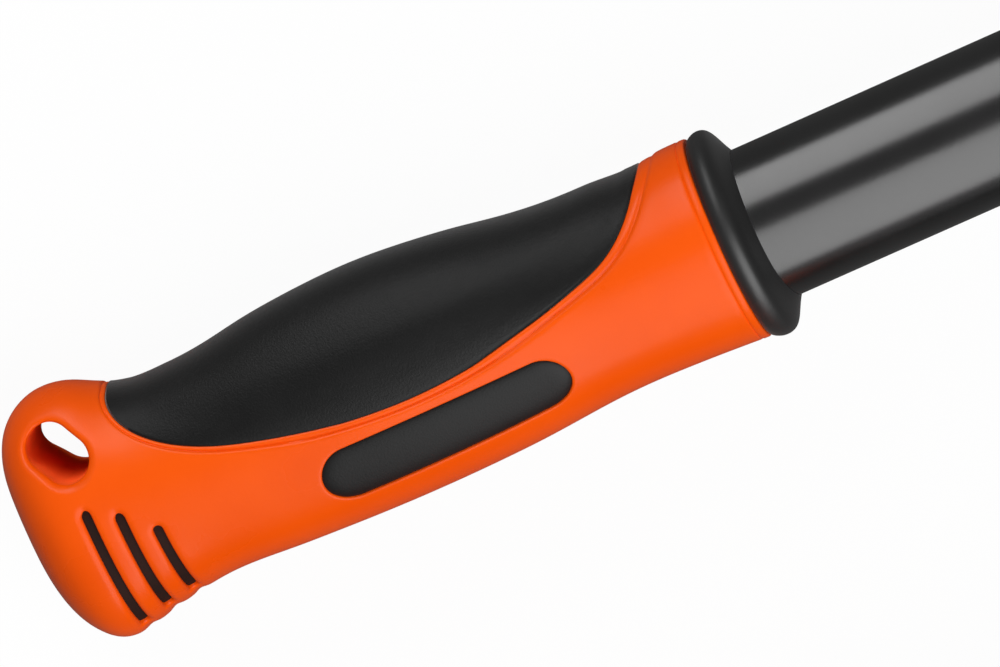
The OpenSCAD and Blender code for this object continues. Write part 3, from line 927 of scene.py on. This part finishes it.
zinc = finish(
    "zinc", ((0.27, 0.28, 0.29), (0.38, 0.38, 0.37)), rough=(0.36, 0.52),
    drift=180, grain=1500, relief=0.00003, metallic=1.0,
)
# Stands one piece on every given point, turned by the point's own attribute
fastened = bpy.data.node_groups.new("fastened", "GeometryNodeTree")
for name, kind in (
    ("Places", "NodeSocketGeometry"), ("Piece", "NodeSocketObject"),
    ("Millimetre", "NodeSocketFloat"), ("Material", "NodeSocketMaterial"),
):
    fastened.interface.new_socket(name, in_out="INPUT", socket_type=kind)
fastened.interface.new_socket("Geometry", in_out="OUTPUT", socket_type="NodeSocketGeometry")
nodes = fastened.nodes
link = fastened.links.new
given = nodes.new("NodeGroupInput")
result = nodes.new("NodeGroupOutput")
source = nodes.new("GeometryNodeObjectInfo")
turn = nodes.new("GeometryNodeInputNamedAttribute")
turn.data_type = "FLOAT_VECTOR"
turn.inputs["Name"].default_value = "turn"
rotation = nodes.new("FunctionNodeEulerToRotation")
stand = nodes.new("GeometryNodeInstanceOnPoints")
real = nodes.new("GeometryNodeRealizeInstances")
dress = nodes.new("GeometryNodeSetMaterial")
link(given.outputs["Places"], stand.inputs["Points"])
link(given.outputs["Piece"], source.inputs["Object"])
link(given.outputs["Millimetre"], stand.inputs["Scale"])
link(given.outputs["Material"], dress.inputs["Material"])
link(source.outputs["Geometry"], stand.inputs["Instance"])
link(turn.outputs["Attribute"], rotation.inputs["Euler"])
link(rotation.outputs["Rotation"], stand.inputs["Rotation"])
link(stand.outputs["Instances"], real.inputs["Geometry"])
link(real.outputs["Geometry"], dress.inputs["Geometry"])
link(dress.outputs["Geometry"], result.inputs["Geometry"])


def spun(rows, ring=False, steps=96):
    """Piece turned about Z from rows of (height, radius), each a number or one value a step."""
    turn = np.linspace(0, 2 * math.pi, steps, endpoint=False)
    points = []
    for height, radius in rows:
        radius = radius + 0 * turn
        circle = [radius * np.cos(turn), radius * np.sin(turn), height + 0 * turn]
        points.append(np.stack(circle, 1))
    count = len(rows)
    faces = []
    for i in range(count if ring else count - 1):
        here, there = i * steps, (i + 1) % count * steps
        for k in range(steps):
            after = (k + 1) % steps
            faces.append([here + k, here + after, there + after, there + k])
    if not ring:
        faces.append(list(range(steps))[::-1])
        faces.append(list(range((count - 1) * steps, count * steps)))
    return np.concatenate(points), faces


def hexagon(across, steps=96):
    """Radius of a hexagon at each step round it, given its width across the flats."""
    turn = np.linspace(0, 2 * math.pi, steps, endpoint=False)
    return across / 2 / np.cos((turn + math.pi / 6) % (math.pi / 3) - math.pi / 6)


def hex_bolt(size, length):
    """Bolt with its head's underside at zero; the thread's last turns show below the nut."""
    head = 0.64 * size
    flats = hexagon(1.7 * size)
    chamfer = (flats - 0.8 * size) * 0.58
    rows = [(-length, 0.36 * size), (-length + 0.12 * size, 0.46 * size)]
    for k in range(6):
        at = -length + 0.12 * size + k * 0.14 * size
        for rise, radius in ((0.04, 0.5), (0.08, 0.5), (0.13, 0.43)):
            rows.append((at + rise * size, radius * size))
    rows += [
        (rows[-1][0] + 0.1, 0.5 * size), (0, 0.5 * size), (0, 0.8 * size), (0.25, 0.82 * size),
        (0.25, flats - 0.15), (0.45, flats), (head - chamfer, flats), (head - 0.12, 0.8 * size),
        (head, 0.77 * size), (head, 0.3 * size),
    ]
    return spun(rows)


def lock_nut(size):
    """Nut with its seat at zero, running down: a hexagon and the rounded collar of the insert."""
    flats = hexagon(1.7 * size)
    chamfer = (flats - 0.8 * size) * 0.58
    collar = ((0, 0.56), (0, 0.62), (0.05, 0.7), (0.16, 0.74), (0.26, 0.75), (0.28, 0.79))
    rows = [(0, 0.505 * size), (-size + 0.4, 0.505 * size)]
    rows += [(-size + rise * size, radius * size) for rise, radius in collar]
    rows += [(-size + 0.3 * size + chamfer, flats), (-chamfer - 0.1, flats), (0, 0.8 * size)]
    return spun(rows, ring=True)


def fasten(node, body, master, spots):
    """Stands a piece for a CAD node on spots of (place, way of its own Z, turn about it)."""
    points, faces = master
    mesh = bpy.data.meshes.new(f"{node}_master")
    mesh.from_pydata(points.tolist(), [], faces)
    mesh.shade_smooth()
    mesh.set_sharp_from_angle(angle=math.radians(28))
    source = bpy.data.objects.new(f"{node}_master", mesh)
    seats = bpy.data.meshes.new(f"{node}_seats")
    seats.from_pydata(laid([spot[0] for spot in spots]).tolist(), [], [])
    turns = seats.attributes.new("turn", "FLOAT_VECTOR", "POINT")
    for k, (_, way, turn) in enumerate(spots):
        up = Vector(np.array(way, float) @ tool_axes).normalized()
        side = Vector(tool_axes[0])
        side = (side - up * side.dot(up)).normalized()
        stood = Matrix((side, up.cross(side), up)).transposed()
        stood = stood @ Matrix.Rotation(math.radians(turn), 3, "Z")
        turns.data[k].vector = stood.to_euler()
    bed = bpy.data.objects.new(f"{node}_bed", seats)
    bpy.context.scene.collection.objects.link(bed)
    modifier = bed.modifiers.new("fastened", "NODES")
    modifier.node_group = fastened
    values = {"Piece": source, "Millimetre": 0.001, "Material": zinc}
    for item in fastened.interface.items_tree:
        if item.in_out == "INPUT" and item.name in values:
            modifier[item.identifier] = values[item.name]
    evaluated = bed.evaluated_get(bpy.context.evaluated_depsgraph_get())
    made_mesh = bpy.data.meshes.new_from_object(evaluated)
    bpy.data.objects.remove(bed)
    bpy.data.objects.remove(source)
    made = bpy.data.objects.new(f"{node}_made", made_mesh)
    bpy.context.scene.collection.objects.link(made)
    return settle(made, node, body)


dome_turns = np.radians((0, 15, 30, 45, 60, 75, 86))
dome = [(2.4 * math.sin(turn), 5.4 * math.cos(turn)) for turn in dome_turns]
tail_top = -7.5
tail = [
    (tail_top + rise, radius)
    for rise, radius in ((0, 2.0), (0.3, 3.6), (1.0, 4.4), (1.8, 4.5), (1.8, 3.0))
]
rivet = spun(tail + [(0, 3.0), (0, 5.2)] + dome)
# Bolts in rows of (x, turn of the bolt, turn of its nut); rivets stand off the web's middle line
up = (0, 0, 1)
bolts = ((-30, 8, 22), (-76, 41, 3))
bolt_len = 47.4
cheek_face = 18.3
rivet_xs = (16, 46)
rivet_off = 9.5
rivet_tilt = math.asin(rivet_off / (web_r + plate / 2))
for half, side in (("left", 1), ("right", -1)):
    body = f"{half}_half"
    bolt_y = side * half_spacing
    bolt_spots = [((x, bolt_y, cheek_face), up, turn) for x, turn, _ in bolts]
    fasten(f"{half}_bracket_bolts", body, hex_bolt(8, bolt_len), bolt_spots)
    nut_spots = [((x, bolt_y, -cheek_face), up, turn) for x, _, turn in bolts]
    fasten(f"{half}_bracket_nuts", body, lock_nut(8), nut_spots)
    rivet_spots = []
    for x in rivet_xs:
        for tilt in (-rivet_tilt, rivet_tilt):
            way = np.array([0, side * math.cos(tilt), math.sin(tilt)])
            seat = way * (blade_r + blade_t / 2) + [x, side * bend_y, 0]
            rivet_spots.append((seat, way, 0))
    fasten(f"{half}_blade_rivets", body, rivet, rivet_spots)

# The pivot bolt's head and its nut each press a washer on the outer cheeks
washer_t = 2.0
washer_seat = 21.9
pivot_seat = washer_seat + washer_t
pivot_len = 61.3
fasten("pivot_bolt", "left_half", hex_bolt(10, pivot_len), [((0, 0, pivot_seat), up, 14)])
fasten("pivot_nut", "left_half", lock_nut(10), [((0, 0, -pivot_seat), up, 33)])
washer = spun([
    (0.15, 5.2), (0, 5.4), (0, 9.7), (0.3, 10),
    (1.7, 10), (washer_t, 9.7), (washer_t, 5.4), (1.85, 5.2),
], ring=True)
washer_spots = [((0, 0, z), up, 0) for z in (washer_seat, -pivot_seat)]
fasten("pivot_washers", "left_half", washer, washer_spots)
sleeve_half = 15.3
sleeve = spun([
    (-15.2, 5.1), (-sleeve_half, 5.3), (-sleeve_half, 7.7), (-15.0, 8),
    (15.0, 8), (sleeve_half, 7.7), (sleeve_half, 5.3), (15.2, 5.1),
], ring=True)
fasten("pivot_sleeve", "left_half", sleeve, [((0, 0, 0), up, 0)])

# Stage.
# White paper under the tool, a broad soft box over the finger side and a narrow one low beside
# the palm, whose reflections run along the tube, and a fill beside the palm that isn't mirrored.

floor_half = 9.0
floor_mesh = bpy.data.meshes.new("floor")
floor_mesh.from_pydata(
    [(x * floor_half, y * floor_half, 0) for x, y in ((-1, -1), (1, -1), (1, 1), (-1, 1))],
    [], [(0, 1, 2, 3)],
)
floor = bpy.data.objects.new("floor", floor_mesh)
bpy.context.scene.collection.objects.link(floor)
# White to the camera, but dim to other rays, so that it hardly shows in the tube's gloss
paper = bpy.data.materials.new("paper")
paper.use_nodes = True
nodes = paper.node_tree.nodes
link = paper.node_tree.links.new
nodes.remove(nodes["Principled BSDF"])
matte = nodes.new("ShaderNodeBsdfDiffuse")
shade = nodes.new("ShaderNodeMapRange")
shade.inputs["To Min"].default_value = 0.1
shade.inputs["To Max"].default_value = 0.9
glow = nodes.new("ShaderNodeEmission")
glow.inputs["Strength"].default_value = 1.0
path = nodes.new("ShaderNodeLightPath")
seen = nodes.new("ShaderNodeMath")
seen.operation = "MULTIPLY"
seen.inputs[1].default_value = 0.95
share = nodes.new("ShaderNodeMath")
share.operation = "MULTIPLY_ADD"
share.inputs[1].default_value = 0.03
mix = nodes.new("ShaderNodeMixShader")
link(path.outputs["Is Camera Ray"], shade.inputs["Value"])
link(shade.outputs["Result"], matte.inputs["Color"])
link(path.outputs["Is Camera Ray"], seen.inputs[0])
link(path.outputs["Is Glossy Ray"], share.inputs[0])
link(seen.outputs["Value"], share.inputs[2])
link(share.outputs["Value"], mix.inputs["Fac"])
link(matte.outputs["BSDF"], mix.inputs[1])
link(glow.outputs["Emission"], mix.inputs[2])
link(mix.outputs["Shader"], nodes["Material Output"].inputs["Surface"])
floor_mesh.materials.append(paper)

# The room is white to the camera too and gives only a little light
world = bpy.data.worlds.new("studio")
bpy.context.scene.world = world
world.use_nodes = True
nodes = world.node_tree.nodes
link = world.node_tree.links.new
path = nodes.new("ShaderNodeLightPath")
level = nodes.new("ShaderNodeMapRange")
level.inputs["To Min"].default_value = 0.15
level.inputs["To Max"].default_value = 1.0
link(path.outputs["Is Camera Ray"], level.inputs["Value"])
link(level.outputs["Result"], nodes["Background"].inputs["Strength"])
nodes["Background"].inputs["Color"].default_value = (1, 1, 1, 1)


def softbox(name, over, lean, distance, size, radiance, mirrored=True):
    """Area light above a point of the tool, leaning towards +Y, with size along and across it.

    One that isn't mirrored gives its light without showing in glossy surfaces.
    """
    lamp = bpy.data.lights.new(name, "AREA")
    lamp.shape = "RECTANGLE"
    lamp.size, lamp.size_y = size
    lamp.energy = radiance * math.pi * size[0] * size[1]
    made = bpy.data.objects.new(name, lamp)
    made.visible_glossy = mirrored
    bpy.context.scene.collection.objects.link(made)
    lean = math.radians(lean)
    back = Vector(np.array([0, math.sin(lean), math.cos(lean)]) @ tool_axes)
    side = Vector(tool_axes[0])
    turn = Matrix((side, back.cross(side), back)).transposed().to_4x4()
    made.matrix_world = Matrix.Translation(Vector(laid(over)) + back * distance) @ turn
    return made


softbox(
    "finger_box", (-235, half_spacing, 0), lean=-38, distance=1.6, size=(1.8, 2.35), radiance=2.7,
)
softbox(
    "palm_box", (-870, half_spacing, 0), lean=63, distance=1.6, size=(0.35, 1.5), radiance=3.8,
)
# The fill stands behind the narrow box, because in one plane it would hide that box's reflection
softbox(
    "palm_fill", (-950, half_spacing, 0), lean=63, distance=1.8, size=(1.69, 1.69), radiance=1.9,
    mirrored=False,
)

# The photograph looks down on the left grip through a long lens, rolled and a little aslant
aim_along = 53.7
aim_across = 1.15
aim = Vector(laid([-handle_reach - aim_along, half_spacing + aim_across, 0]))
camera = bpy.data.objects.new("camera", bpy.data.cameras.new("camera"))
bpy.context.scene.collection.objects.link(camera)
bpy.context.scene.camera = camera
view_distance = 1.8
frame_width = 0.188
sensor_width = 36
camera.data.sensor_width = sensor_width
camera.data.lens = sensor_width * view_distance / frame_width
camera.data.clip_end = 50
back = np.array([0.135, 0.104, 0])
back[2] = math.sqrt(1 - back @ back)
along = np.array([1, 0, 0]) - back[0] * back
along /= np.linalg.norm(along)
over = np.cross(back, along)
roll = math.radians(23.95)
side = along * math.cos(roll) - over * math.sin(roll)
up = along * math.sin(roll) + over * math.cos(roll)
axes = [Vector(axis @ tool_axes) for axis in (side, up, back)]
turned = Matrix(axes).transposed().to_4x4()
camera.matrix_world = Matrix.Translation(aim + axes[2] * view_distance) @ turned

bpy.context.scene.view_settings.view_transform = "Standard"
